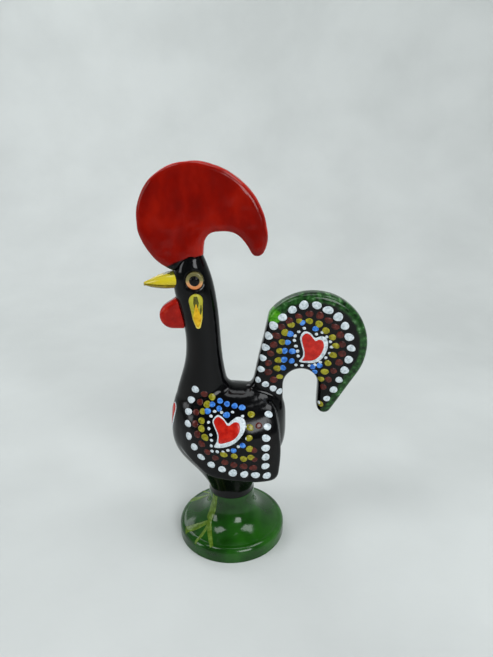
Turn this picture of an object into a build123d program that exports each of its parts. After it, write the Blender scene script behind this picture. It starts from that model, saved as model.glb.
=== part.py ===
"""Painted clay cockerel ornament standing on a bell foot.

The figure is built from separately formed pieces that are luted together with slip: a thrown bell
foot, a hollow body pressed in two halves, slab wings, tail and comb, and small pressed pieces for
the beak, wattle, eyes and ear lobes.

Frame, in millimetres: +Z up, origin on the foot's axis at the surface it stands on. The beak points
to -X, the tail to +X, and Y = 0 is the plane of symmetry. The left side is -Y.
"""

import os
from math import acos, atan2, cos, degrees, hypot, pi, radians, sin, sqrt
from typing import NamedTuple

from build123d import *

# Joints between pieces
slip_gap = 0.1  # slip left round a root in its socket

# Bell foot
foot_rim_radius = 17.5
foot_lip_height = 4.8
foot_lip_round = 2.0
foot_flare_slope = 0.4  # rise of the bell's top where it leaves the lip
foot_height = 16.5
foot_neck_radius = 7.4
foot_neck_height = 3.0  # straight stretch under the seat, before the bell flares
foot_wall = 3.0
foot_edge = 0.6  # ledge inside the rim

# Spigot under the body, and the vent through it
spigot_radius = 4.6
spigot_length = 5.0
vent_radius = 2.0

# Trunk
belly_height = 37.0  # height of the fullest section
belly_front = 18.6
belly_rear = 17.4
belly_half_width = 12.4
back_height = 54.1  # crest of the back, between neck and tail
breast_power = 2.6  # how soon the breast leans back towards the neck
back_length_power = 5.0  # how long the trunk keeps its length towards the back
back_width_power = 2.1  # how soon the trunk narrows towards the back
crest_x = -12.5  # where the ridge of the back runs out, inside the neck
body_wall = 3.2
neck_blend = 3.4  # hollow of the joint between neck and back

# Neck and head: sections from inside the trunk up to the crown, each by its rise over the one below,
# its reach forward of the foot's axis, the place of its back edge and its half width
neck_root_depth = 10.6  # under the crest of the back
neck_root_front = 16.3
neck_root_back = 1.5
neck_root_half_width = 7.4
neck_base_rise = 0.9  # over the crest of the back
neck_base_front = 15.7
neck_base_back = -0.9
neck_base_half_width = 5.9
throat_rise = 12.5
throat_front = 13.2
throat_back = -2.7
throat_half_width = 5.0
head_rise = 17.0
head_front = 16.1
head_back = -4.3
head_half_width = 4.9
brow_rise = 5.5
brow_front = 16.0
brow_back = -5.7
brow_half_width = 4.5
crown_rise = 4.8
crown_front = 13.4
crown_back = -7.4
crown_half_width = 2.8
neck_wall = 2.4

# Wings: a face that stands off the trunk at the rear and runs out on the breast and under the back
wing_half_width = 14.4  # outermost reach of the wing's face
wing_face_front = 18.0
wing_face_rear = 22.0
wing_top_drop = 1.6  # how far under the crest of the back the wing's face closes, inside the flank
wing_crest_drop = 0.6  # how far under that the slab ends
wing_length_power = 4.0  # how long the wing's face keeps its length towards the back
wing_width_power = 2.1  # how soon it leans in there
wing_front = 18.5  # front of the slab, inside the breast
wing_front_rise = 0.4  # where its lower edge starts there, over the fullest section of the trunk
wing_bottom_front = 6.3
wing_bottom_drop = 8.7  # front of the bottom under that section
wing_bottom_round = 8.0
wing_tip = 14.6
wing_tip_drop = 11.1
wing_tip_round = 2.5
wing_rear = 15.2
wing_rear_rise = 3.0
wing_rear_top = 12.6
wing_tip_inner = 6.4  # how far out the inner face of the wing's tip stands
wing_edge_round = 1.3

# Comb, with heights over the flat of the crown
comb_disc_radius = 15.3
comb_disc_x = -10.3
comb_disc_rise = 9.8
comb_thickness_root = 7.0
comb_thickness_top = 4.6
comb_hook_x = 10.8  # rearmost reach of the hook
comb_hook_rise = 7.2
comb_tip_x = 8.0
comb_tip_rise = 0.6  # level where the blunt tip starts to close
comb_tip_width = 3.8
comb_arch_x = -1.6  # crown of the hollow under the hook
comb_arch_rise = 6.4
comb_root_front = 15.6
comb_root_back = 7.2
comb_seat_back = -0.5  # lower edge of the comb at the back of the head
comb_seat_middle = -1.6
comb_edge_round = 1.6
comb_tongue_length = 5.0
comb_tongue_depth = 4.0
comb_tongue_thickness = 2.4

# Tail, with heights over the crest of the back and drops under the middle of its round
tail_disc_radius = 16.6
tail_disc_x = 24.7
tail_disc_rise = 12.9
tail_shoulder_angle = 142.0  # where the front edge meets the round of the tail
tail_shoulder_round = 4.0
tail_thickness = 6.2
tail_front = 6.5  # front of the tail at the crest of the back
tail_foot_blend = 4.0  # hollow where the front edge spreads out on the back
tail_foot_drop = 1.2  # how deep that foot reaches into the back
tail_root_rear = 16.3
tail_root_depth = 8.6
tail_arch_radius = 5.3
tail_arch_drop = 12.7
tail_tip_x = 29.2
tail_tip_drop = 22.4
tail_tip_round = 2.3
tail_edge_round = 2.0
tail_tongue_length = 5.5
tail_tongue_depth = 5.0
tail_tongue_thickness = 2.6

# Beak, with its height over the head's fullest section
beak_length = 8.7
beak_root_height = 5.2
beak_root_width = 6.2
beak_root_depth = 3.5  # how far the cone reaches into the head before it is fitted
beak_rise = 2.7
beak_drop = 1.4  # how far the tip lies below the middle of the root
beak_power = 1.5  # how full the beak is between root and tip
beak_tip_radius = 0.5
beak_peg_radius = 1.4
beak_peg_length = 3.0
mouth_drop = 1.3  # mouth line under the middle of the beak's root
mouth_line = 0.35
mouth_depth = 0.4

# Wattle, with its top under the head's fullest section
wattle_top_drop = 2.5
wattle_height = 9.6
wattle_reach = 20.7
wattle_top_reach = 15.6
wattle_bottom_reach = 14.6
wattle_root = 12.2
wattle_drop_radius = 4.0
wattle_thickness = 4.6
wattle_edge_round = 1.5
wattle_peg_radius = 1.2
wattle_peg_length = 2.4

# Eyes, with their height over the head's fullest section
eye_radius = 2.45
eye_x = -9.6
eye_rise = 3.4
eye_proud = 0.75  # how far the ring stands out of the head
eye_sink = 1.1  # depth of its socket
eye_edge_round = 0.4
pupil_radius = 1.3
pupil_proud = 0.35  # how far the drop stands out of the ring

# Ear lobes, with their top under the head's fullest section
lobe_x = -9.4
lobe_top_drop = 0.4
lobe_length = 10.3
lobe_radius = 2.0
lobe_waist_drop = 7.2  # where the leaf narrows to its tip, under its top
lobe_waist_radius = 1.4
lobe_tip_radius = 0.75
lobe_lean = 0.5  # how far the tip lies behind the top
lobe_proud = 0.9
lobe_edge_round = 0.4

# Levels that several pieces share
neck_base_height = back_height + neck_base_rise
throat_height = neck_base_height + throat_rise
head_height = throat_height + head_rise
brow_height = head_height + brow_rise
crown_height = brow_height + crown_rise
wing_top = back_height - wing_top_drop
beak_height = head_height + beak_rise


class Station(NamedTuple):
    """One oval section of the neck: its height, its reach forward, its back edge, its half width."""

    height: float
    front: float
    back: float
    half_width: float


neck_root = Station(back_height - neck_root_depth, neck_root_front, neck_root_back, neck_root_half_width)
neck_base = Station(neck_base_height, neck_base_front, neck_base_back, neck_base_half_width)
throat = Station(throat_height, throat_front, throat_back, throat_half_width)
head = Station(head_height, head_front, head_back, head_half_width)
brow = Station(brow_height, brow_front, brow_back, brow_half_width)
crown = Station(crown_height, crown_front, crown_back, crown_half_width)


def side(shape):
    """Stands a sketch drawn in X and height upright on the plane of symmetry."""
    return Plane.XZ * shape


def slab(outline, thickness):
    """A plate of the given thickness, centred on the plane of symmetry."""
    return extrude(Plane.XZ.offset(-thickness / 2) * outline, thickness)


def on_circle(x, height, radius, angle):
    """The point of a circle at an angle in degrees, counted from +X towards +Z."""
    return (x + radius * cos(radians(angle)), height + radius * sin(radians(angle)))


def oval(height, front, back, half_width):
    """A level elliptical section that reaches from -front to +back along X."""
    return Pos((back - front) / 2, 0, height) * Ellipse((front + back) / 2, half_width)


def ease(share):
    """Runs from 0 to 1 with level ends."""
    return (1 - cos(pi * share)) / 2


def dome(share, power):
    """Size of a dome's section at a share of its height."""
    return (1 - share**power) ** (1 / power)


def crest_shares():
    """Shares of a dome's height, closer together towards its top."""
    return [sin(radians(angle)) for angle in (15, 30, 44, 56, 66, 75, 82, 87.5)]


def trunk(inset=0.0):
    """The trunk, or with an inset the hollow inside it."""
    front = belly_front - inset
    rear = belly_rear - inset
    width = belly_half_width - inset
    stem = foot_neck_radius - inset
    bottom = foot_height + inset
    top = back_height - inset
    sections = []
    steps = 5
    for step in range(steps + 1):
        share = ease(step / steps)
        height = bottom + (belly_height - bottom) * step / steps
        grown = [stem + (size - stem) * share for size in (front, rear, width)]
        sections.append(oval(height, *grown))
    for share in crest_shares():
        height = belly_height + (top - belly_height) * share
        breast = (front + crest_x) * dome(share, breast_power) - crest_x
        tail_end = (rear - crest_x) * dome(share, back_length_power) + crest_x
        sections.append(oval(height, breast, tail_end, width * dome(share, back_width_power)))
    return loft(sections)


def neck(stations, inset=0.0):
    """The neck through its stations; an inset gives the hollow, a negative one a fuller form."""
    return loft([oval(s.height, s.front - inset, s.back - inset, s.half_width - inset) for s in stations])


def lies_on(edge, faces):
    """Whether an edge runs along one of the faces."""
    points = [edge.position_at(share) for share in (0.1, 0.5, 0.9)]
    return all(min(face.distance_to(point) for face in faces) < 1e-3 for point in points)


def meeting_edges(joined, first, second):
    """Edges of a joined form that lie on both of the forms it was joined from."""
    return [edge for edge in joined.edges() if lies_on(edge, first.faces()) and lies_on(edge, second.faces())]


def body_form():
    """The outside of trunk, neck and head, with a blend where the neck leaves the back."""
    lower = trunk()
    upper = neck((neck_root, neck_base, throat, head, brow, crown))
    joined = lower + upper
    return fillet(meeting_edges(joined, lower, upper), neck_blend)


def body_hollow():
    """The hollow of the trunk and lower neck, with the vent down through the spigot."""
    hollow = trunk(body_wall) + neck((neck_root, neck_base, throat), neck_wall)
    vent_length = spigot_length + 2 * body_wall
    vent = Pos(0, 0, foot_height - spigot_length) * extrude(Circle(vent_radius), vent_length)
    return hollow + vent


def spigot(clearance=0.0):
    """The spigot that centres the body in the foot, or its socket."""
    height = spigot_length + clearance
    return Pos(0, 0, foot_height - height) * extrude(Circle(spigot_radius + clearance), height)


def foot_bell():
    """The bell foot: a rounded lip, a hollow flare up to the neck, and the socket for the spigot."""

    def half_section(inset, lip_round, top):
        """Half of the bell's section; the inset gives the hollow inside it."""
        rim = foot_rim_radius - inset
        neck_radius = foot_neck_radius - inset
        lip = foot_lip_height - inset
        flare_start = (rim - lip_round, lip)
        flare_end = (neck_radius, foot_height - foot_neck_height - inset)
        lip_side = Polyline((0, 0), (rim, 0), (rim, lip), flare_start)
        flare = Spline(flare_start, flare_end, tangents=((-1, foot_flare_slope), (0, 1)))
        top_side = Polyline(flare_end, (neck_radius, top), (0, top), (0, 0))
        return make_face([lip_side, flare, top_side])

    outside = revolve(side(half_section(0.0, foot_lip_round, foot_height)), Axis.Z)
    lip_edges = outside.edges().filter_by(GeomType.CIRCLE).filter_by(
        lambda edge: edge.radius > foot_rim_radius - 0.01 and edge.center().Z > 0.01
    )
    outside = fillet(lip_edges, foot_lip_round * 0.95)
    hollow = revolve(side(half_section(foot_wall, foot_edge, foot_height - spigot_length)), Axis.Z)
    return outside - hollow - spigot(slip_gap)


def rounded_plate(plate, radius, root_level):
    """Rounds the outline of a plate on both of its faces, down to the root that the body hides."""

    def shows(edge):
        size = edge.bounding_box().size
        return size.X + size.Z > size.Y and edge.center().Z > root_level

    return fillet(plate.edges().filter_by(shows), radius)


def comb_form():
    """The comb's plate: a round disc that runs back into a hook, thinner towards its top."""
    disc_level = crown_height + comb_disc_rise
    tip_level = crown_height + comb_tip_rise
    top_level = disc_level + comb_disc_radius
    root_level = disc_level - sqrt(comb_disc_radius**2 - (comb_root_front + comb_disc_x) ** 2)
    start = (-comb_root_front, root_level)
    foremost = (comb_disc_x - comb_disc_radius, disc_level)
    top = (comb_disc_x, top_level)
    hook = (comb_hook_x, crown_height + comb_hook_rise)
    tip_outer = (comb_tip_x + comb_tip_width / 2, tip_level)
    tip_inner = (comb_tip_x - comb_tip_width / 2, tip_level)
    arch_top = (comb_arch_x, crown_height + comb_arch_rise)
    root_rear = (-comb_root_back, tip_level)
    disc = ThreePointArc(start, foremost, top)
    sweep_back = TangentArc(top, hook, tangent=(1, 0))
    hook_back = TangentArc(hook, tip_outer, tangent=sweep_back % 1)
    tip = TangentArc(tip_outer, tip_inner, tangent=hook_back % 1)
    arch = Spline(tip_inner, arch_top, root_rear, tangents=(tip % 1, (0, -1)))
    root_end = (-comb_root_back, crown_height + comb_seat_back)
    root_low = (-(comb_root_front + comb_root_back) / 2, crown_height + comb_seat_middle)
    outline = make_face(
        [
            disc,
            sweep_back,
            hook_back,
            tip,
            arch,
            Line(root_rear, root_end),
            ThreePointArc(root_end, root_low, start),
        ]
    )
    half_root = comb_thickness_root / 2
    half_top = comb_thickness_top / 2
    low = root_level - comb_edge_round
    high = top_level + comb_edge_round
    corners = ((-half_root, low), (half_root, low), (half_top, high), (-half_top, high))
    taper = make_face(Polyline(*corners, close=True))
    wedge = extrude(Plane.YZ.offset(-2 * comb_disc_radius) * taper, 4 * comb_disc_radius)
    return rounded_plate(slab(outline, comb_thickness_root) & wedge, comb_edge_round, root_end[1])


def tail_form():
    """The tail's plate: a sickle with a round back, an arched hollow and a blunt tip."""
    disc_level = back_height + tail_disc_rise
    tip_level = disc_level - tail_tip_drop + tail_tip_round
    arch_level = disc_level - tail_arch_drop
    root_level = back_height - tail_root_depth
    across = tail_tip_x - tail_disc_x
    down = tip_level - disc_level
    lean = degrees(atan2(down, across) + acos((tail_disc_radius - tail_tip_round) / hypot(across, down)))
    shoulder = on_circle(tail_disc_x, disc_level, tail_disc_radius, tail_shoulder_angle)
    top = on_circle(tail_disc_x, disc_level, tail_disc_radius, 90)
    round_end = on_circle(tail_disc_x, disc_level, tail_disc_radius, lean)
    tip_outer = on_circle(tail_tip_x, tip_level, tail_tip_round, lean)
    tip_low = on_circle(tail_tip_x, tip_level, tail_tip_round, -90)
    tip_inner = on_circle(tail_tip_x, tip_level, tail_tip_round, 180)
    arch_x = tail_root_rear + tail_arch_radius
    arch_front = (tail_root_rear, arch_level)
    arch_top = (arch_x, arch_level + tail_arch_radius)
    arch_rear = (arch_x + tail_arch_radius, arch_level)
    foot_level = back_height - tail_foot_drop
    foot_front = tail_front - tail_foot_blend
    front = (tail_front, foot_level)
    outline = make_face(
        [
            Line(front, shoulder),
            ThreePointArc(shoulder, top, round_end),
            Line(round_end, tip_outer),
            ThreePointArc(tip_outer, tip_low, tip_inner),
            Line(tip_inner, arch_rear),
            ThreePointArc(arch_rear, arch_top, arch_front),
            Polyline(
                arch_front,
                (tail_root_rear, root_level),
                (foot_front, root_level),
                (foot_front, foot_level),
                front,
            ),
        ]
    )
    for corner, radius in ((shoulder, tail_shoulder_round), (front, tail_foot_blend)):
        outline = fillet(outline.vertices().sort_by_distance((*corner, 0))[0], radius)
    return rounded_plate(slab(outline, tail_thickness), tail_edge_round, root_level)


def tongue(middle, length, top, depth, thickness, clearance=0.0):
    """A flat root that holds a plate in the body, or with a clearance its slot."""
    height = depth + clearance
    width = thickness + 2 * clearance
    return Pos(middle, 0, top - height / 2) * Box(length + 2 * clearance, width, height)


def wing_form():
    """The left wing's slab before it is fitted to the body."""
    tip_level = belly_height - wing_tip_drop
    tip = (wing_tip, tip_level)
    front_low = (-wing_front, belly_height + wing_front_rise)
    bottom_front = (-wing_bottom_front, belly_height - wing_bottom_drop)
    rearmost = (wing_rear, belly_height + wing_rear_rise)
    rear_top = (wing_rear_top, wing_top)
    outline = make_face(
        [
            Polyline(rear_top, (-wing_front, wing_top), front_low, bottom_front, tip),
            ThreePointArc(tip, rearmost, rear_top),
        ]
    )
    for corner, radius in ((bottom_front, wing_bottom_round), (tip, wing_tip_round)):
        outline = fillet(outline.vertices().sort_by_distance((*corner, 0))[0], radius)
    reach = 2 * wing_half_width
    plan = make_face(
        Polyline(
            (-wing_front, 0),
            (wing_rear, -wing_tip_inner),
            (wing_rear + reach, -reach),
            (-wing_front - reach, -reach),
            close=True,
        )
    )
    slab_form = extrude(side(outline), reach)
    low = tip_level - wing_tip_round
    sections = []
    steps = 4
    for step in range(steps + 1):
        level = low + (belly_height - low) * step / steps
        sections.append(oval(level, wing_face_front, wing_face_rear, wing_half_width))
    for share in crest_shares():
        level = belly_height + (wing_top - belly_height) * share
        length = dome(share, wing_length_power)
        width = wing_half_width * dome(share, wing_width_power)
        sections.append(oval(level, wing_face_front * length, wing_face_rear * length, width))
    face_form = loft(sections)
    wing = slab_form & extrude(plan, wing_top - wing_crest_drop) & face_form
    return fillet(meeting_edges(wing, slab_form, face_form), wing_edge_round)


def beak_form(inset=0.0):
    """The beak's cone, or with an inset the core that the mouth line does not reach."""
    root_x = -head_front
    shares = (-beak_root_depth / beak_length, -0.2, 0.0, 0.2, 0.4, 0.6, 0.8, 1.0)
    sections = []
    for share in shares:
        size = dome(max(share, 0.0), beak_power)
        middle = (root_x - beak_length * share, 0, beak_height - beak_drop * max(share, 0.0))
        plane = Plane(origin=middle, x_dir=(0, 1, 0), z_dir=(-1, 0, 0))
        half_width = max(beak_root_width / 2 * size, beak_tip_radius) - inset
        half_height = max(beak_root_height / 2 * size, beak_tip_radius) - inset
        sections.append(plane * Ellipse(half_width, half_height))
    return loft(sections)


def mouth_groove():
    """The incised line round the beak between its upper and lower half."""
    middle = (-head_front - beak_length / 2, 0, beak_height - mouth_drop)
    return Pos(*middle) * Box(2 * beak_length, 2 * beak_root_width, mouth_line) - beak_form(mouth_depth)


def peg(x, height, radius, length, clearance=0.0):
    """A round root along X that ends at x inside the body, or with a clearance its socket."""
    start = Plane(origin=(x + clearance, 0, height), z_dir=(-1, 0, 0))
    return extrude(start * Circle(radius + clearance), length + clearance)


def wattle_form():
    """The wattle's plate: a drop that hangs from the throat."""
    top = head_height - wattle_top_drop
    bottom = top - wattle_height
    drop = Pos(wattle_drop_radius - wattle_reach, bottom + wattle_drop_radius) * Circle(wattle_drop_radius)
    root = make_face(
        Polyline(
            (-wattle_top_reach, top),
            (-wattle_root, top),
            (-wattle_root, bottom),
            (-wattle_bottom_reach, bottom),
            close=True,
        )
    )
    outline = make_hull([*drop.edges(), *root.edges()])
    return rounded_plate(slab(outline, wattle_thickness), wattle_edge_round, 0.0)


def eye_plane():
    """The floor of the left eye's socket, facing outwards."""
    share = eye_rise / brow_rise
    cheek = head_half_width + (brow_half_width - head_half_width) * share
    return Plane(origin=(eye_x, eye_sink - cheek, head_height + eye_rise), x_dir=(1, 0, 0), z_dir=(0, -1, 0))


def eye_ring():
    """The left eye's disc with the hole for the pupil."""
    disc = extrude(Circle(eye_radius) - Circle(pupil_radius), eye_sink + eye_proud)
    outer = disc.edges().group_by(Axis.Z)[-1]
    return eye_plane() * fillet(outer, eye_edge_round)


def eye_socket():
    """The round socket that takes the left eye."""
    return eye_plane() * extrude(Circle(eye_radius + slip_gap), 3 * (eye_sink + eye_proud))


def pupil():
    """The drop in the middle of the left eye."""
    height = eye_sink + eye_proud + pupil_proud
    drop = extrude(Circle(pupil_radius - slip_gap), height)
    return eye_plane() * fillet(drop.edges().group_by(Axis.Z)[-1], pupil_proud)


def lobe_form():
    """The left ear lobe's drop before it is fitted to the cheek."""
    top_level = head_height - lobe_top_drop
    top = Pos(lobe_x, top_level - lobe_radius) * Circle(lobe_radius)
    waist_x = lobe_x + lobe_lean * lobe_waist_drop / lobe_length
    waist = Pos(waist_x, top_level - lobe_waist_drop) * Circle(lobe_waist_radius)
    tip = Pos(lobe_x + lobe_lean, top_level - lobe_length + lobe_tip_radius) * Circle(lobe_tip_radius)
    outline = make_hull([*top.edges(), *waist.edges(), *tip.edges()])
    fuller = neck((neck_root, neck_base, throat, head, brow, crown), -lobe_proud)
    lobe = extrude(side(outline), 2 * belly_half_width) & fuller
    skin = fuller.faces().sort_by(SortBy.AREA)[-1]
    rim = [edge for edge in lobe.edges() if lies_on(edge, [skin]) and edge.center().Y < -lobe_proud]
    return fillet(rim, lobe_edge_round)


def mirrored(left):
    """The right-hand piece that matches a left-hand one."""
    return mirror(left, Plane.XZ)


def build():
    """Every piece of the figure, by name."""
    body = body_form()
    comb_middle = -(comb_root_front + comb_root_back) / 2
    comb_root = (comb_middle, comb_tongue_length, crown_height, comb_tongue_depth, comb_tongue_thickness)
    tail_middle = (tail_front + tail_root_rear) / 2
    tail_root = (tail_middle, tail_tongue_length, back_height, tail_tongue_depth, tail_tongue_thickness)
    beak_root_x = -head_front + beak_peg_length
    beak_root = (beak_root_x, beak_height, beak_peg_radius, beak_peg_length + beak_length / 2)
    wattle_level = head_height - wattle_top_drop - wattle_height + wattle_drop_radius
    wattle_root_x = -wattle_bottom_reach + wattle_peg_length
    wattle_root_peg = (wattle_root_x, wattle_level, wattle_peg_radius, wattle_peg_length + wattle_drop_radius)
    left_wing = wing_form() - body
    comb = comb_form() - body + tongue(*comb_root)
    tail = tail_form() - body + tongue(*tail_root)
    beak = beak_form() - mouth_groove() - body + peg(*beak_root)
    wattle = wattle_form() - body + peg(*wattle_root_peg)
    left_lobe = lobe_form() - body
    sockets = [
        body_hollow(),
        tongue(*comb_root, slip_gap),
        tongue(*tail_root, slip_gap),
        peg(*beak_root, slip_gap),
        peg(*wattle_root_peg, slip_gap),
        eye_socket(),
        mirrored(eye_socket()),
    ]
    shell = body + spigot()
    for socket in sockets:
        shell = shell - socket
    pieces = {
        "foot_bell": foot_bell(),
        "body_left_half": split(shell, Plane.XZ, keep=Keep.TOP),
        "body_right_half": split(shell, Plane.XZ, keep=Keep.BOTTOM),
        "left_wing": left_wing,
        "right_wing": mirrored(left_wing),
        "tail": tail,
        "comb": comb,
        "beak": beak,
        "wattle": wattle,
        "left_eye_ring": eye_ring(),
        "right_eye_ring": mirrored(eye_ring()),
        "left_pupil": pupil(),
        "right_pupil": mirrored(pupil()),
        "left_ear_lobe": left_lobe,
        "right_ear_lobe": mirrored(left_lobe),
    }
    return pieces


if __name__ == "__main__":
    os.makedirs("parts", exist_ok=True)
    for name, shape in build().items():
        print(name, len(shape.solids()), round(shape.volume, 1), shape.is_valid, shape.bounding_box())
        export_step(shape, f"parts/{name}.step")
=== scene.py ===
"""Glaze, brushwork and light for the painted clay cockerel.

One skin of glaze is drawn over the black pieces, one over the comb and one over the wattle. Dots, hearts
and strokes are thick paint that lies on the black skin and on the bare pieces, laid along a few guide
lines on both sides. Guides are in millimetres: X and height as seen from the left, Y and height on the
breast, and X and Y on the flare of the foot.
"""

import bpy
import math
import random
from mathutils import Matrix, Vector, noise
from mathutils.bvhtree import BVHTree


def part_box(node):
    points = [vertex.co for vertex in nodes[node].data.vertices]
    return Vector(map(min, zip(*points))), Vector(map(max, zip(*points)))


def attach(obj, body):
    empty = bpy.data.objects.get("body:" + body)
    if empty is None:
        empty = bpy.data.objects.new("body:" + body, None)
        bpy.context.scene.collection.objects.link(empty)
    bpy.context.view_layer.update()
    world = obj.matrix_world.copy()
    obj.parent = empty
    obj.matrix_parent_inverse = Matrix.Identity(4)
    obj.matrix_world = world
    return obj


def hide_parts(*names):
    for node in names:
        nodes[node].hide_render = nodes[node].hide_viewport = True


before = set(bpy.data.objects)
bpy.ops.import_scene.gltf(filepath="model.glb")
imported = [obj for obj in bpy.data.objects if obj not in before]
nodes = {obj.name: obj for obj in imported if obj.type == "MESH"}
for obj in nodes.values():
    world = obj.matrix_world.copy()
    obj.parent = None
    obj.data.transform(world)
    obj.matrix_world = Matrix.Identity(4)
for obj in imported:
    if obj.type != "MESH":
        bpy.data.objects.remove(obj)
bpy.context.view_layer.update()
MM = 0.001


# Camera

def add_camera():
    """The photograph's viewpoint: a little above the comb, looking down at the figure's left side."""
    image_height = 657
    focal_pixels = 520
    sensor_mm = 36
    nearest = 0.01
    pitch = math.radians(19.6)
    place_mm = Vector((4.99, -146.6, 124.2))
    data = bpy.data.cameras.new("camera")
    data.sensor_width = sensor_mm
    data.lens = focal_pixels / image_height * sensor_mm
    data.clip_start = nearest
    camera = bpy.data.objects.new("camera", data)
    camera.location = place_mm * MM
    camera.rotation_euler = (math.pi / 2 - pitch, 0, 0)
    bpy.context.scene.collection.objects.link(camera)
    bpy.context.scene.camera = camera


# Colours

def linear(channel):
    """Linear light of one sRGB channel, which goes up to 255."""
    share = channel / 255
    if channel <= 10:
        return share / 12.92
    return ((share + 0.055) / 1.055) ** 2.4


def tones(positions, *colours):
    """Stops of a colour ramp: sRGB colours, each at its position."""
    return [(position, tuple(linear(c) for c in colour)) for position, colour in zip(positions, colours)]


BLACK_TONES = tones((0.3, 0.55, 0.78), (3, 3, 4), (6, 6, 7), (15, 11, 10))


# Materials

NOISE_LOW = 0.3  # nearly all values of a noise lie between these two
NOISE_HIGH = 0.7
COLOUR_A = 6  # sockets that a mix node has for colours
COLOUR_B = 7
COLOUR_RESULT = 2


class Nodes:
    """One material's node tree, built step by step."""

    def __init__(self, name):
        self.material = bpy.data.materials.new(name)
        self.material.use_nodes = True
        self.tree = self.material.node_tree
        self.shader = self.tree.nodes["Principled BSDF"]
        self.place = self.tree.nodes.new("ShaderNodeTexCoord").outputs["Object"]

    def link(self, output, node, socket):
        self.tree.links.new(output, node.inputs[socket])

    def noise(self, size_mm, detail=3.0, stretch=(1, 1, 1)):
        """Noise whose features are about size_mm across."""
        mapping = self.tree.nodes.new("ShaderNodeMapping")
        mapping.inputs["Scale"].default_value = stretch
        self.link(self.place, mapping, "Vector")
        texture = self.tree.nodes.new("ShaderNodeTexNoise")
        texture.inputs["Scale"].default_value = 1 / (size_mm * MM)
        texture.inputs["Detail"].default_value = detail
        self.link(mapping.outputs["Vector"], texture, "Vector")
        return texture.outputs["Fac"]

    def ramp(self, value, stops):
        """A colour ramp; stops are (position, colour)."""
        anywhere = 0.5
        ramp = self.tree.nodes.new("ShaderNodeValToRGB")
        elements = ramp.color_ramp.elements
        while len(elements) < len(stops):
            elements.new(anywhere)
        for element, (position, colour) in zip(elements, stops):
            element.position = position
            element.color = (*colour, 1)
        self.link(value, ramp, "Fac")
        return ramp.outputs["Color"]

    def span(self, value, low, high):
        """Maps noise to a range of numbers."""
        mapped = self.tree.nodes.new("ShaderNodeMapRange")
        mapped.inputs["From Min"].default_value = NOISE_LOW
        mapped.inputs["From Max"].default_value = NOISE_HIGH
        mapped.inputs["To Min"].default_value = low
        mapped.inputs["To Max"].default_value = high
        self.link(value, mapped, "Value")
        return mapped.outputs["Result"]

    def level(self, low_mm, high_mm):
        """How far up a point lies between two heights, from 0 to 1."""
        split = self.tree.nodes.new("ShaderNodeSeparateXYZ")
        self.link(self.place, split, "Vector")
        level = self.tree.nodes.new("ShaderNodeMapRange")
        level.inputs["From Min"].default_value = low_mm * MM
        level.inputs["From Max"].default_value = high_mm * MM
        self.link(split.outputs["Z"], level, "Value")
        return level.outputs["Result"]

    def add_share(self, value, share, base):
        """A share of a value, added to another."""
        node = self.tree.nodes.new("ShaderNodeMath")
        node.operation = "MULTIPLY_ADD"
        self.link(value, node, 0)
        node.inputs[1].default_value = share
        self.link(base, node, 2)
        return node.outputs["Value"]

    def mix(self, share, first, second):
        """A mix of two colours by a share."""
        mixed = self.tree.nodes.new("ShaderNodeMix")
        mixed.data_type = "RGBA"
        self.link(share, mixed, "Factor")
        self.link(first, mixed, COLOUR_A)
        self.link(second, mixed, COLOUR_B)
        return mixed.outputs[COLOUR_RESULT]

    def mask(self, name):
        """A mask that the surface carries."""
        node = self.tree.nodes.new("ShaderNodeAttribute")
        node.attribute_name = name
        return node.outputs["Fac"]

    def gloss(self, level):
        self.shader.inputs["Specular IOR Level"].default_value = level

    def bump(self, height, depth_mm):
        bump = self.tree.nodes.new("ShaderNodeBump")
        bump.inputs["Distance"].default_value = depth_mm * MM
        self.link(height, bump, "Height")
        self.link(bump.outputs["Normal"], self.shader, "Normal")

    def finish(self, colour, roughness):
        self.link(colour, self.shader, "Base Color")
        self.link(roughness, self.shader, "Roughness")
        return self.material


def glaze(name, dark, middle, light, patch_mm, brush_mm, wave_mm=0.05, rough=(0.1, 0.22), gloss=0.3):
    """Brushed colour under a clear varnish: three tones of one paint, uneven in gloss."""
    gloss_patch_mm = patch_mm * 0.6
    n = Nodes(name)
    n.gloss(gloss)
    colour = n.ramp(n.noise(patch_mm, detail=4), tones((0.28, 0.5, 0.74), dark, middle, light))
    n.bump(n.noise(brush_mm, detail=2), wave_mm)
    return n.finish(colour, n.span(n.noise(gloss_patch_mm), *rough))


def black_glaze():
    """Black glaze brushed upwards, with the tail's green band and the fresh daub on its shoulder."""
    band_tones = tones((0.3, 0.45, 0.6, 0.75), (12, 28, 12), (28, 60, 26), (46, 90, 42), (112, 150, 106))
    leaf_tones = tones((0.3, 0.5, 0.75), (44, 104, 16), (66, 142, 24), (104, 170, 48))
    n = Nodes("black_glaze")
    n.gloss(0.21)
    black = n.ramp(n.noise(7, stretch=(1, 1, 0.35)), BLACK_TONES)
    green = n.ramp(n.noise(1.5, detail=4, stretch=(1, 0.6, 1)), band_tones)
    leaf = n.ramp(n.noise(1.2), leaf_tones)
    colour = n.mix(n.mask("leaf"), n.mix(n.mask("green"), black, green), leaf)
    n.bump(n.noise(3.2, detail=2, stretch=(1, 1, 0.3)), depth_mm=0.1)
    return n.finish(colour, n.span(n.noise(7), low=0.07, high=0.18))


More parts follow.
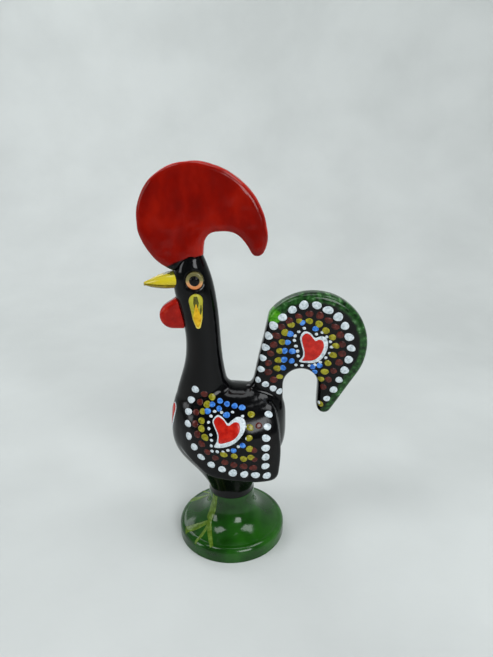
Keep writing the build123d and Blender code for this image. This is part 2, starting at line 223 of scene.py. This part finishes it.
def red_glaze():
    """Red glaze with a lighter, pinkish painted sheen on the rims, and with the comb's root blacked in."""
    red_tones = tones((0.3, 0.5, 0.72), (102, 6, 2), (128, 10, 2), (156, 22, 5))
    # painted sheen: lighter, pinkish reds laid where the rim mask is high
    sheen_tones = tones((0.3, 0.55, 0.78), (152, 16, 7), (182, 26, 11), (198, 62, 42))
    n = Nodes("red_glaze")
    n.gloss(0.2)
    red = n.ramp(n.noise(7, detail=4, stretch=(1, 1, 0.55)), red_tones)
    sheen = n.ramp(n.noise(1.6, detail=4), sheen_tones)
    black = n.ramp(n.noise(7), BLACK_TONES)
    colour = n.mix(n.mask("root"), n.mix(n.mask("rim"), red, sheen), black)
    n.bump(n.noise(2.8, detail=2), depth_mm=0.1)
    return n.finish(colour, n.span(n.noise(5), low=0.1, high=0.22))


def banded(name, node, stops):
    """Colour that changes up the height of a CAD node, with brushed edges; on the beak and the eye rings the
    bands hold painted shade, highlight and reflection as well as paint.
    """
    edge_wander = 0.3
    low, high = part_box(node)
    n = Nodes(name)
    height = n.add_share(n.noise(1.2), edge_wander, n.level(low.z / MM, high.z / MM))
    n.bump(n.noise(1.5, detail=2), depth_mm=0.04)
    return n.finish(n.ramp(height, stops), n.span(n.noise(2), low=0.15, high=0.3))


def dress(names, material):
    """Gives CAD nodes that show as they are their finished material."""
    for name in names:
        nodes[name].data.materials.clear()
        nodes[name].data.materials.append(material)


# Surfaces

SOFTENING = 0.5  # how far one smoothing pass moves a point towards its neighbours


def new_object(name, verts, faces, material):
    mesh = bpy.data.meshes.new(name)
    mesh.from_pydata(verts, [], faces)
    mesh.polygons.foreach_set("use_smooth", [True] * len(mesh.polygons))
    mesh.materials.append(material)
    mesh.update()
    obj = bpy.data.objects.new(name, mesh)
    bpy.context.scene.collection.objects.link(obj)
    return obj


def shape_of(obj):
    """An object's vertices and faces."""
    return [v.co.copy() for v in obj.data.vertices], [tuple(p.vertices) for p in obj.data.polygons]


def joined(shapes):
    """The vertices and faces of several shapes as one."""
    verts, faces = [], []
    for shape_verts, shape_faces in shapes:
        base = len(verts)
        verts += shape_verts
        faces += [tuple(base + i for i in face) for face in shape_faces]
    return verts, faces


def plug(radius, low, high, count):
    """A closed round plug on the foot's axis, in millimetres."""
    turns = [2 * math.pi * i / count for i in range(count)]
    ring = [(radius * math.cos(t), radius * math.sin(t)) for t in turns]
    verts = [Vector((x, y, z)) * MM for z in (low, high) for x, y in ring]
    sides = [(i, (i + 1) % count, count + (i + 1) % count, count + i) for i in range(count)]
    return verts, [*sides, tuple(reversed(range(count))), tuple(range(count, 2 * count))]


def soften(obj, passes, group=""):
    """Smooths an object, all over or by the weights of a vertex group."""
    smooth = obj.modifiers.new("soften", "SMOOTH")
    smooth.factor = SOFTENING
    smooth.iterations = passes
    smooth.vertex_group = group
    before = obj.data
    made = obj.evaluated_get(bpy.context.evaluated_depsgraph_get())
    obj.data = bpy.data.meshes.new_from_object(made)
    obj.modifiers.clear()
    bpy.data.meshes.remove(before)
    obj.data.name = obj.name


def skin(name, names, material, voxel_mm, passes, plugs=(), waves=((7.0, 0.1),)):
    """One closed skin over CAD nodes, softened as glaze softens edges, with a hand-formed unevenness.

    Each wave of it is a length and a height in millimetres.
    """
    verts, faces = joined([*(shape_of(nodes[n]) for n in names), *plugs])
    obj = new_object(name, verts, faces, material)
    remesh = obj.modifiers.new("remesh", "REMESH")
    remesh.mode = "VOXEL"
    remesh.voxel_size = voxel_mm * MM
    remesh.use_smooth_shade = True
    soften(obj, passes)
    normals = [v.normal.copy() for v in obj.data.vertices]
    for vertex, normal in zip(obj.data.vertices, normals):
        lift = sum(noise.noise(vertex.co / (length * MM)) * height for length, height in waves)
        vertex.co += normal * (lift * MM)
    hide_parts(*names)
    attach(obj, "root")
    return obj


def ease_joint(obj, middle_mm, radius_mm, passes):
    """Fills a joint's crease with glaze: the skin is smoothed further there, fading out with distance."""
    fade = 1.5
    group = obj.vertex_groups.new(name="joint")
    middle = Vector(middle_mm) * MM
    for vertex in obj.data.vertices:
        share = fade - fade * (vertex.co - middle).length / (radius_mm * MM)
        if share > 0:
            group.add([vertex.index], min(1.0, share), "REPLACE")
    soften(obj, passes, group.name)
    obj.vertex_groups.clear()


def set_mask(obj, name, values):
    mask = obj.data.attributes.new(name, "FLOAT", "POINT")
    mask.data.foreach_set("value", [max(0.0, min(1.0, value)) for value in values])


def inside(margin, fade):
    """A mask's value at a margin inside its edge, which is half way through the fade."""
    return 0.5 + margin / fade


def mark_tail_band(obj):
    """Marks the tail's green: a band along its round back down to the tip, and a daub on its shoulder."""
    round_middle = Vector((24.7, 67.0))
    round_radius = 16.6
    round_front = 10.5
    round_angles = (-20, 150)
    edge_start = Vector((41.0, 63.5))
    edge_end = Vector((31.4, 46.6))
    edge_front = 20
    edge_top = 64
    shoulder = Vector((12.9, 76.7))
    band_width = 2.5
    band_wander = 0.7
    band_fade = 0.6
    daub_radius = 2.1
    daub_wander = 0.5
    daub_fade = 0.4
    wander_mm = 3
    far = 99.0
    along = (edge_end - edge_start).normalized()
    inward = Vector((along.y, -along.x))
    band, daub = [], []
    for vertex in obj.data.vertices:
        at = Vector((vertex.co.x, vertex.co.z)) / MM
        outward = at - round_middle
        angle = math.degrees(math.atan2(outward.y, outward.x))
        depth = far
        if at.x > round_front and round_angles[0] < angle < round_angles[1]:
            depth = round_radius - outward.length
        if at.x > edge_front and at.y < edge_top:
            depth = min(depth, abs((at - edge_start).dot(inward)))
        uneven = noise.noise(vertex.co / (wander_mm * MM))
        band.append(inside(band_width + band_wander * uneven - depth, band_fade))
        daub.append(inside(daub_radius + daub_wander * uneven - (at - shoulder).length, daub_fade))
    set_mask(obj, "green", band)
    set_mask(obj, "leaf", daub)


def mark_reds(obj, sheen, root_line=()):
    """Marks where a red piece carries painted sheen, most on its rims, and the part under a line that is
    black.
    """
    flat_limit = 0.9
    rim_fade = 0.5
    rim_wander = 0.3
    root_wander = 0.25
    root_fade = 0.4
    wander_mm = 2
    no_root = -1.0
    root, rim = [], []
    for vertex in obj.data.vertices:
        at = Vector((vertex.co.x, vertex.co.z)) / MM
        uneven = noise.noise(vertex.co / (wander_mm * MM))
        # painted sheen: more where the surface turns away from the side faces, with some wander
        rim.append(sheen + (flat_limit - abs(vertex.normal.y)) / rim_fade + rim_wander * uneven)
        level = no_root
        for (x0, z0), (x1, z1) in zip(root_line, root_line[1:]):
            if x0 <= at.x <= x1:
                level = z0 + (z1 - z0) * (at.x - x0) / (x1 - x0)
        root.append(inside(level + root_wander * uneven - at.y, root_fade))
    set_mask(obj, "rim", rim)
    set_mask(obj, "root", root)


# Views that guides are drawn in: where they are seen from, right, up and the way of looking

REACH = 0.08
LEFT = (Vector((0, -REACH, 0)), Vector((1, 0, 0)), Vector((0, 0, 1)), Vector((0, 1, 0)))
RIGHT = (Vector((0, REACH, 0)), Vector((1, 0, 0)), Vector((0, 0, 1)), Vector((0, -1, 0)))
FRONT = (Vector((-REACH, 0, 0)), Vector((0, 1, 0)), Vector((0, 0, 1)), Vector((1, 0, 0)))
ABOVE = (Vector((0, 0, 2 * REACH)), Vector((1, 0, 0)), Vector((0, 1, 0)), Vector((0, 0, -1)))
SIDES = (LEFT, RIGHT)


class Surface:
    """A skin that paint can be laid on."""

    near_mm = 0.7
    same_face_mm = 2

    def __init__(self, *objs):
        self.tree = BVHTree.FromPolygons(*joined(shape_of(obj) for obj in objs))

    def meet(self, start, towards):
        hit, normal, _, _ = self.tree.ray_cast(start, towards)
        return hit, normal

    def place(self, first, second, view):
        """Point and mean normal of the skin at two millimetre coordinates of a view."""
        origin, right, up, towards = view
        start = origin + right * (first * MM) + up * (second * MM)
        hit, normal = self.meet(start, towards)
        normals = [normal]
        step = self.near_mm
        for across, along in ((step, 0), (-step, 0), (0, step), (0, -step)):
            other, other_normal = self.meet(start + right * (across * MM) + up * (along * MM), towards)
            if other is not None and (other - hit).length < self.same_face_mm * MM:
                normals.append(other_normal)
        return hit, sum(normals, Vector()).normalized()


# Guides

def spline_point(a, b, c, d, t):
    """The point at share t of a smooth curve's stretch from b to c, with neighbours a and d."""
    slope = c - a
    bend = 2 * a - 5 * b + 4 * c - d
    twist = 3 * b - a - 3 * c + d
    return 0.5 * (2 * b + slope * t + bend * t**2 + twist * t**3)


def curve_points(guide, count, closed=False):
    """Points spaced evenly along a smooth curve through the guide's points."""
    steps = 24
    last = len(guide)
    if last == 1:
        return [Vector(guide[0])]
    fine = []
    for i in range(last if closed else last - 1):
        around = range(i - 1, i + 3)
        if closed:
            corners = [Vector(guide[k % last]) for k in around]
        else:
            corners = [Vector(guide[min(max(k, 0), last - 1)]) for k in around]
        fine += [spline_point(*corners, step / steps) for step in range(steps)]
    fine.append(Vector(guide[0 if closed else -1]))
    lengths = [0.0]
    for p, q in zip(fine, fine[1:]):
        lengths.append(lengths[-1] + (q - p).length)
    points = []
    spot = 0
    for i in range(count):
        wanted = lengths[-1] * i / (count if closed else max(count - 1, 1))
        while spot < len(lengths) - 2 and lengths[spot + 1] < wanted:
            spot += 1
        gap = lengths[spot + 1] - lengths[spot]
        share = (wanted - lengths[spot]) / gap if gap else 0
        points.append(fine[spot].lerp(fine[spot + 1], share))
    return points


def even_heart(dip, half, tip):
    """A heart that is alike on both sides, from its dip round one half to its tip."""
    return [dip, *((-across, up) for across, up in half), tip, *reversed(half)]


def circle(middle, radius, count=12):
    turns = [2 * math.pi * i / count for i in range(count)]
    return [middle + radius * Vector((math.cos(t), math.sin(t))) for t in turns]


def width_at(widths, share):
    """Width at a share of a stroke's length, from the widths at its start, middle and end."""
    start, middle, end = widths
    if share < 0.5:
        return start + (middle - start) * share * 2
    return middle + (end - middle) * (share * 2 - 1)


# Paint; profiles are shares of a mark's reach and height, and their edges dip under the skin

DAB_PROFILE = ((0.45, 0.97), (0.75, 0.82), (0.93, 0.45), (1.0, -0.2))
PATCH_PROFILE = ((0.3, 1.0), (0.55, 1.0), (0.78, 0.97), (0.92, 0.85), (0.985, 0.5), (1.0, -0.2))
STROKE_PROFILE = ((-1.0, -0.2), (-0.8, 0.6), (-0.35, 1.0), (0.35, 1.0), (0.8, 0.6), (1.0, -0.2))

DOT_HEIGHT = 0.16
SPECK_HEIGHT = 0.1
TIP_HEIGHT = 0.24
HEART_RIM_HEIGHT = 0.12
HEART_HEIGHT = 0.22
STROKE_HEIGHT = 0.08
STRIPE_HEIGHT = 0.06
PUPIL_HEIGHT = 0.1


class Paint:
    """All the marks in one colour, gathered into one piece."""

    jitter = 0.14
    size_spread = (0.92, 1.08)
    speck_radius = 0.7
    speck_sides = 12
    dot_sides = 18
    patch_sides = 72
    stroke_steps = 26

    def __init__(self, name, material, slot):
        self.name = name
        self.material = material
        self.slot = slot
        self.verts = []
        self.faces = []

    def ring_faces(self, base, rings, count):
        """A fan in the middle and bands round it."""
        self.faces += [(base, base + 1 + i, base + 1 + (i + 1) % count) for i in range(count)]
        for ring in range(rings - 1):
            inner = base + 1 + ring * count
            outer = inner + count
            for i in range(count):
                j = (i + 1) % count
                self.faces.append((inner + i, outer + i, outer + j, inner + j))

    def dab(self, surface, first, second, view, radius, height, rng, count):
        """One drop of thick paint, a little uneven in outline."""
        slant = Vector((0.31, 0.2, 0.93))
        most_stretch = 0.14
        two_lobes = 0.05
        three_lobes = 0.04
        over_mm = 2.5
        deepest_mm = 1.2
        point, normal = surface.place(first, second, view)
        right = normal.cross(slant).normalized()
        up = normal.cross(right)
        phases = [rng.uniform(0, 2 * math.pi) for _ in range(3)]
        stretch = 1 + rng.uniform(0, most_stretch)
        base = len(self.verts)
        self.verts.append(point + normal * (height * MM))
        for share, level in DAB_PROFILE:
            for i in range(count):
                turn = 2 * math.pi * i / count
                wide = two_lobes * math.sin(2 * turn + phases[0])
                uneven = 1 + wide + three_lobes * math.sin(3 * turn + phases[1])
                reach = radius * share * uneven
                along = math.cos(turn - phases[2]) * reach * stretch
                across = math.sin(turn - phases[2]) * reach / stretch
                over = point + (right * along + up * across) * MM + normal * (over_mm * MM)
                hit, _ = surface.meet(over, -normal)
                flat = over - normal * (over_mm * MM)
                under = hit if hit is not None and (hit - flat).length < deepest_mm * MM else flat
                self.verts.append(under + normal * (level * height * MM))
        self.ring_faces(base, len(DAB_PROFILE), count)

    def row(self, surface, guide, count, radius, height=DOT_HEIGHT, ends=1.0):
        """A row of drops along a guide, on each side; towards the row's ends they may be smaller."""
        sides = self.speck_sides if radius < self.speck_radius else self.dot_sides
        for view in SIDES:
            rng = random.Random(f"{self.name} {guide[0]} {count} {view is RIGHT}")
            for i, point in enumerate(curve_points(guide, count)):
                spot = [c + rng.uniform(-self.jitter, self.jitter) for c in point]
                middle = math.sin(math.pi * i / (count - 1)) if count > 1 else 1.0
                size = radius * (ends + (1 - ends) * middle) * rng.uniform(*self.size_spread)
                self.dab(surface, *spot, view, size, height, rng, sides)

    def patch(self, surface, guide, middle, height, views=SIDES):
        """A filled shape with a rounded edge, such as a heart."""
        outline = curve_points(guide, self.patch_sides, closed=True)
        for view in views:
            centre, normal = surface.place(*middle, view)
            base = len(self.verts)
            self.verts.append(centre + normal * (height * MM))
            for share, level in PATCH_PROFILE:
                for point in outline:
                    spot = Vector(middle).lerp(point, share)
                    hit, _ = surface.place(*spot, view)
                    self.verts.append(hit + normal * (level * height * MM))
            self.ring_faces(base, len(PATCH_PROFILE), self.patch_sides)

    def stroke(self, surface, guide, widths, height, view=ABOVE, mirror=False):
        """A brush stroke along a guide, with a width at its start, middle and end."""
        count = self.stroke_steps
        points = curve_points(guide, count)
        if mirror:
            points = [Vector((p.x, -p.y)) for p in points]
        base = len(self.verts)
        for i, point in enumerate(points):
            before = points[max(i - 1, 0)]
            after = points[min(i + 1, count - 1)]
            direction = (after - before).normalized()
            side = Vector((-direction.y, direction.x))
            width = width_at(widths, i / (count - 1))
            for offset, level in STROKE_PROFILE:
                spot = point + side * (offset * width / 2)
                hit, normal = surface.place(*spot, view)
                self.verts.append(hit + normal * (level * height * MM))
        across = len(STROKE_PROFILE)
        for i in range(count - 1):
            for j in range(across - 1):
                a = base + i * across + j
                b = a + across
                self.faces.append((a, a + 1, b + 1, b))

    def done(self):
        obj = new_object(self.name, self.verts, self.faces, self.material)
        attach(obj, "root")


def paint(name, dark, middle, light, grain_mm=0.9, slot="black_glaze"):
    """A colour that marks are painted with: thick, brushed and varnished."""
    return Paint(name, glaze(f"{name}_paint", dark, middle, light, grain_mm, brush_mm=0.6), slot)


# Stage

def add_stage():
    """A pale floor that curves up into a wall all round."""
    middle_y = -0.55
    floor_radius = 0.75
    bend = 0.25
    wall_top = 1.0
    bend_steps = 12
    count = 72
    n = Nodes("floor")
    colour = n.ramp(n.noise(60, detail=4), tones((0.35, 0.65), (204, 207, 205), (212, 215, 213)))
    n.bump(n.noise(2), depth_mm=0.05)
    material = n.finish(colour, n.span(n.noise(40), low=0.6, high=0.75))
    profile = [(floor_radius * share, 0.0) for share in (0.25, 0.5, 0.75, 1.0)]
    for i in range(1, bend_steps + 1):
        turn = math.pi / 2 * i / bend_steps
        profile.append((floor_radius + bend * math.sin(turn), bend - bend * math.cos(turn)))
    profile.append((floor_radius + bend, wall_top))
    turns = [2 * math.pi * i / count for i in range(count)]
    verts = [Vector((r * math.cos(t), middle_y + r * math.sin(t), z)) for r, z in profile for t in turns]
    faces = [tuple(range(count))]
    for ring in range(len(profile) - 1):
        low = ring * count
        for i in range(count):
            following = (i + 1) % count
            faces.append((low + i, low + count + i, low + count + following, low + following))
    new_object("floor", verts, faces, material)


def add_light(name, place, size, power):
    """A soft rectangular lamp that faces the figure."""
    aim = Vector((0, 0, 0.06))
    data = bpy.data.lights.new(name, "AREA")
    data.shape = "RECTANGLE"
    data.size, data.size_y = size
    data.energy = power
    data.color = (0.95, 0.98, 1.0)
    lamp = bpy.data.objects.new(name, data)
    lamp.location = place
    lamp.rotation_euler = (aim - Vector(place)).to_track_quat("-Z", "Y").to_euler()
    lamp.visible_camera = False
    bpy.context.scene.collection.objects.link(lamp)


def add_lights():
    """Soft studio light: a window on the right and one on the left, three overhead, and fill from behind."""
    world = bpy.data.worlds.new("room")
    world.use_nodes = True
    background = world.node_tree.nodes["Background"]
    background.inputs["Color"].default_value = (0.9, 0.95, 1.0, 1)
    background.inputs["Strength"].default_value = 0.12
    bpy.context.scene.world = world
    add_light("window_right", place=(0.29, -0.54, 0.36), size=(0.28, 0.32), power=2.5)
    add_light("window_left", place=(-0.54, -0.2, 0.27), size=(0.15, 0.3), power=0.7)
    add_light("skylight_right", place=(0.29, -0.07, 0.54), size=(0.22, 0.16), power=0.7)
    add_light("skylight_left", place=(-0.23, -0.12, 0.56), size=(0.2, 0.14), power=0.5)
    add_light("skylight_middle", place=(0.05, 0.06, 0.72), size=(0.3, 0.24), power=0.85)
    add_light("back_fill", place=(-0.2, 0.36, 0.36), size=(0.3, 0.2), power=0.5)
    bpy.context.scene.view_settings.view_transform = "Standard"


add_camera()
add_stage()
add_lights()

# Black body, wings and tail, with the vent and the seat on the foot closed under the skin
black = black_glaze()
body_nodes = ("body_left_half", "body_right_half", "left_wing", "right_wing", "tail")
vent_plug = plug(radius=3.2, low=12.0, high=14.0, count=12)
seat_plug = plug(radius=7.3, low=14.6, high=17.6, count=36)
body = skin("glazed_body", body_nodes, black, voxel_mm=0.4, passes=14, plugs=[vent_plug, seat_plug])
ease_joint(body, middle_mm=(11.5, 0.0, 54.0), radius_mm=9.5, passes=40)
mark_tail_band(body)

# Red comb and wattle
red = red_glaze()
comb_root_line = [(-30.0, 87.0), (-16.8, 92.0), (-12.0, 93.8), (-7.0, 94.7), (-4.0, 95.0)]
comb = skin("red_comb", ("comb",), red, voxel_mm=0.4, passes=6, waves=((5.0, 0.22), (2.2, 0.05)))
# painted sheen: the comb gets it mostly on its rims, the wattle over much of it
mark_reds(comb, sheen=-0.15, root_line=comb_root_line)
wattle = skin("red_wattle", ("wattle",), red, voxel_mm=0.25, passes=6)
mark_reds(wattle, sheen=0.75)

# Pieces that show as they are
foot_green = glaze(
    "green_glaze", (12, 42, 5), (22, 72, 10), (38, 96, 20),
    patch_mm=10, brush_mm=5, wave_mm=0.08, rough=(0.07, 0.16), gloss=0.34,
)
# beak: yellow paint with a dark olive line along the top edge, painted shade in the darker bands at the
# bottom and a painted highlight in the lighter yellow of the upper face
beak_shaded_tones = tones(
    (0.16, 0.36, 0.5, 1.0, 1.0),
    (96, 78, 12), (152, 134, 16), (212, 190, 22), (224, 208, 50), (112, 112, 24),
)
# eye ring: orange paint with painted reflection, brighter orange at the bottom and olive-grey at the top
eye_ring_and_reflection_tones = tones((0.25, 0.48, 0.66, 1.0), (228, 134, 74), (212, 158, 104), (138, 128, 76), (104, 98, 54))
lobe_tones = tones((0.3, 0.52, 0.7, 1.0), (230, 208, 84), (206, 188, 40), (166, 158, 22), (184, 178, 44))
dress(["foot_bell"], foot_green)
dress(["beak"], banded("beak_paint", "beak", beak_shaded_tones))
dress(["left_eye_ring", "right_eye_ring"], banded("eye_paint", "left_eye_ring", eye_ring_and_reflection_tones))
dress(["left_pupil", "right_pupil"], black)
dress(["left_ear_lobe", "right_ear_lobe"], banded("lobe_paint", "left_ear_lobe", lobe_tones))

surface = Surface(body)
foot = Surface(nodes["foot_bell"])
lobes = Surface(nodes["left_ear_lobe"], nodes["right_ear_lobe"])
eyes = Surface(*(nodes[name] for name in ("left_eye_ring", "right_eye_ring", "left_pupil", "right_pupil")))

white = paint("white_dots", (158, 172, 178), (208, 218, 223), (234, 240, 243), grain_mm=0.7)
brown = paint("brown_dots", (46, 15, 12), (78, 27, 21), (106, 40, 28))
olive = paint("olive_dots", (98, 94, 10), (144, 138, 24), (174, 168, 56))
blue = paint("blue_dots", (30, 82, 168), (58, 126, 216), (112, 170, 238))
scarlet = paint("red_hearts", (160, 20, 11), (188, 29, 17), (208, 46, 31), grain_mm=1.6)
strokes = paint("leaf_strokes", (66, 90, 16), (88, 116, 32), (116, 144, 66), 1.4, "green_glaze")
gold = paint("lobe_drops", (196, 140, 10), (224, 172, 18), (238, 200, 40), 1.2, "yellow_glaze")
shade = paint("lobe_stripes", (50, 50, 12), (78, 78, 16), (104, 102, 26), 0.8, "yellow_glaze")
pupils = Paint("pupil_rims", black, "black_glaze")


def heart(rim, fill, middle, views=SIDES):
    """A red heart on a white one."""
    white.patch(surface, rim, middle, HEART_RIM_HEIGHT, views)
    scarlet.patch(surface, fill, middle, HEART_HEIGHT, views)


# Rows of white dots along the edge of the wing
wing_edge = [
    (-10.3, 54.6), (-12.4, 48.6), (-12.5, 41.4), (-8.4, 35.1), (-1.7, 31.9), (4.7, 30.6), (11.1, 29.0),
]
wing_rear = [(10.6, 32.6), (10.8, 39.1), (11.0, 44.6), (11.6, 48.1)]
white.row(surface, wing_edge, count=13, radius=1.22)
white.row(surface, wing_rear, count=6, radius=1.22)

# Rows of brown, olive and blue dots inside them
wing_brown = [(-7.6, 53.3), (-9.4, 50.2), (-10.5, 45.6), (-7.7, 38.4), (-1.5, 34.7), (7.1, 32.7)]
wing_olive_front = [(-5.3, 52.3), (-8.2, 48.7), (-8.4, 44.1), (-7.5, 42.1)]
wing_olive_rear = [(-1.7, 37.5), (2.0, 36.9), (6.1, 35.4), (5.7, 41.0), (6.3, 48.5)]
wing_blue = [(-6.5, 49.0), (-5.7, 50.3), (-3.4, 51.4), (-1.4, 51.0), (1.2, 50.4), (3.6, 49.8)]
brown.row(surface, wing_brown, count=12, radius=1.05)
brown.row(surface, [(7.2, 35.6), (7.3, 38.7)], count=2, radius=1.0)
brown.row(surface, [(8.6, 45.6)], count=1, radius=1.0)
olive.row(surface, wing_olive_front, count=6, radius=1.05)
olive.row(surface, wing_olive_rear, count=8, radius=1.05)
blue.row(surface, wing_blue, count=6, radius=0.95)
blue.row(surface, [(-3.3, 49.7), (-0.9, 48.5)], count=2, radius=0.95)
blue.row(surface, [(3.8, 40.5), (1.1, 38.8)], count=2, radius=0.9)

# White specks round the wing's heart, and the heart
specks_front = [(-4.4, 48.9), (-6.1, 47.2), (-6.1, 44.4), (-5.4, 42.1), (-5.1, 38.1), (-0.5, 38.8)]
specks_rear = [(-2.4, 48.9), (1.7, 48.9), (4.6, 47.6), (5.5, 43.6), (2.7, 40.2)]
white.row(surface, specks_front, count=11, radius=0.5, height=SPECK_HEIGHT)
white.row(surface, specks_rear, count=6, radius=0.5, height=SPECK_HEIGHT)
wing_heart_rim = [
    (-3.5, 48.3), (-5.1, 46.9), (-4.6, 45.3), (-3.7, 43.4), (-3.8, 41.3),
    (-4.6, 39.5), (-2.0, 39.6), (1.4, 41.0), (4.0, 43.7), (4.8, 46.0),
    (4.2, 47.5), (2.3, 48.0), (0.5, 47.1), (-0.5, 46.4), (-1.8, 47.6),
]
wing_heart = [
    (-3.5, 47.9), (-4.75, 46.8), (-4.3, 45.4), (-3.3, 43.3), (-3.2, 40.9), (-1.2, 41.1),
    (1.5, 42.3), (3.0, 44.4), (2.9, 46.4), (1.5, 46.8), (-0.4, 45.9), (-1.8, 47.2),
]
heart(wing_heart_rim, wing_heart, (-1.0, 44.4))

# Breast
breast_heart_rim = even_heart((0.0, 46.6), [(2.2, 48.7), (3.8, 46.9), (3.2, 42.2)], (0.0, 37.2))
breast_heart = even_heart((0.0, 46.3), [(2.2, 48.4), (3.6, 46.8), (2.7, 42.8)], (0.0, 38.9))
heart(breast_heart_rim, breast_heart, (0.0, 44.4), views=(FRONT,))

# Rows of white dots round the tail
tail_edge = [
    (8.6, 56.4), (10.6, 67.4), (13.6, 74.9), (22.2, 80.3),
    (31.8, 76.7), (36.0, 66.5), (32.8, 56.0), (29.6, 50.1),
]
white.row(surface, tail_edge, count=20, radius=1.36, ends=0.76)
white.row(surface, [(10.9, 55.0), (15.2, 52.4)], count=3, radius=1.05)

# Rows of brown, olive and blue dots inside them, and the dots on the tail's tip
tail_brown = [
    (13.2, 56.6), (11.6, 59.0), (12.1, 65.0), (15.8, 74.2),
    (24.1, 77.5), (31.3, 73.5), (33.5, 65.0), (28.5, 54.1),
]
tail_olive = [
    (15.2, 57.4), (14.3, 61.8), (16.3, 71.4), (19.7, 75.3),
    (26.0, 74.6), (31.3, 68.1), (29.4, 62.0), (27.4, 56.6),
]
brown.row(surface, tail_brown, count=20, radius=1.1)
olive.row(surface, tail_olive, count=17, radius=1.05)
olive.row(surface, [(27.8, 48.2)], count=1, radius=0.95)
white.row(surface, [(27.6, 48.6)], count=1, radius=0.55, height=TIP_HEIGHT)
blue.row(surface, [(17.8, 71.3), (16.4, 65.5), (15.9, 60.4)], count=5, radius=0.95)
blue.row(surface, [(18.6, 66.0), (18.5, 62.8)], count=2, radius=0.95)
blue.row(surface, [(21.3, 75.0), (25.1, 73.0)], count=2, radius=0.95)
blue.row(surface, [(27.0, 61.4), (24.6, 60.6), (25.7, 59.0)], count=3, radius=0.85)

# White specks round the tail's heart, and the heart
tail_specks = [(19.9, 61.4), (25.3, 61.4), (29.3, 64.7), (30.1, 68.3), (27.1, 71.9), (25.6, 71.4)]
white.row(surface, [(21.8, 73.2), (19.2, 70.4), (20.5, 64.3)], count=7, radius=0.52, height=SPECK_HEIGHT)
white.row(surface, tail_specks, count=12, radius=0.48, height=SPECK_HEIGHT)
tail_heart_rim = [
    (22.0, 72.2), (20.8, 70.4), (21.2, 68.1), (21.8, 65.9), (21.7, 64.1), (20.7, 62.6), (23.4, 62.1),
    (25.9, 62.3), (27.9, 63.9), (29.1, 66.9), (28.8, 69.7), (27.2, 70.7), (25.2, 70.2), (23.9, 71.6),
]
tail_heart = [
    (22.4, 71.6), (21.3, 70.4), (21.6, 68.1), (22.2, 65.9), (22.2, 64.1), (21.6, 62.9), (23.4, 62.8),
    (25.3, 63.1), (27.0, 64.6), (28.0, 67.2), (27.6, 69.2), (26.4, 69.7), (25.4, 69.3), (23.6, 71.3),
]
heart(tail_heart_rim, tail_heart, (24.0, 67.0))

# Ear lobes
lobe_drop = [
    (-9.3, 81.4), (-9.85, 79.4), (-10.2, 77.5), (-9.7, 75.5),
    (-8.95, 74.3), (-8.2, 75.5), (-7.9, 77.5), (-8.6, 79.4),
]
wide_stripe = [(-9.4, 83.5), (-9.3, 81.6), (-9.3, 79.6)]
fine_stripe = [(-7.9, 81.0), (-8.0, 79.2), (-8.3, 77.8)]
for view in SIDES:
    shade.stroke(lobes, wide_stripe, widths=(1.1, 1.7, 0.7), height=STRIPE_HEIGHT, view=view)
    shade.stroke(lobes, fine_stripe, widths=(0.3, 0.6, 0.3), height=STRIPE_HEIGHT, view=view)
gold.patch(lobes, lobe_drop, (-9.1, 77.2), DOT_HEIGHT)

# Eyes, where the black of the pupil laps over onto the ring
eye_low, eye_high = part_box("left_eye_ring")
eye_middle = Vector((eye_low.x + eye_high.x, eye_low.z + eye_high.z)) / 2 / MM
pupils.patch(eyes, circle(eye_middle, radius=1.46), eye_middle, PUPIL_HEIGHT)

# A bird's foot on each side of the bell: the leg down its neck, and three toes on its flare
leg = [(-5.2, 16.2), (-5.7, 12.6), (-6.3, 9.9), (-7.4, 7.5)]
inner_toe = [(-7.3, -6.6), (-7.1, -9.0), (-6.7, -12.0), (-6.0, -15.5)]
outer_toe = [(-7.7, -7.1), (-10.0, -7.3), (-13.0, -7.5), (-15.0, -7.6)]
middle_toe = [(-7.6, -8.1), (-9.2, -10.6), (-11.4, -13.1)]
for view, mirror in ((LEFT, False), (RIGHT, True)):
    strokes.stroke(foot, leg, (1.6, 1.9, 1.6), STROKE_HEIGHT, view)
    strokes.stroke(foot, inner_toe, (1.6, 1.5, 1.2), STROKE_HEIGHT, mirror=mirror)
    strokes.stroke(foot, outer_toe, (1.2, 2.5, 2.9), STROKE_HEIGHT, mirror=mirror)
    strokes.stroke(foot, middle_toe, (0.9, 1.2, 0.9), STROKE_HEIGHT, mirror=mirror)

for marks in (white, brown, olive, blue, scarlet, strokes, gold, shade, pupils):
    marks.done()
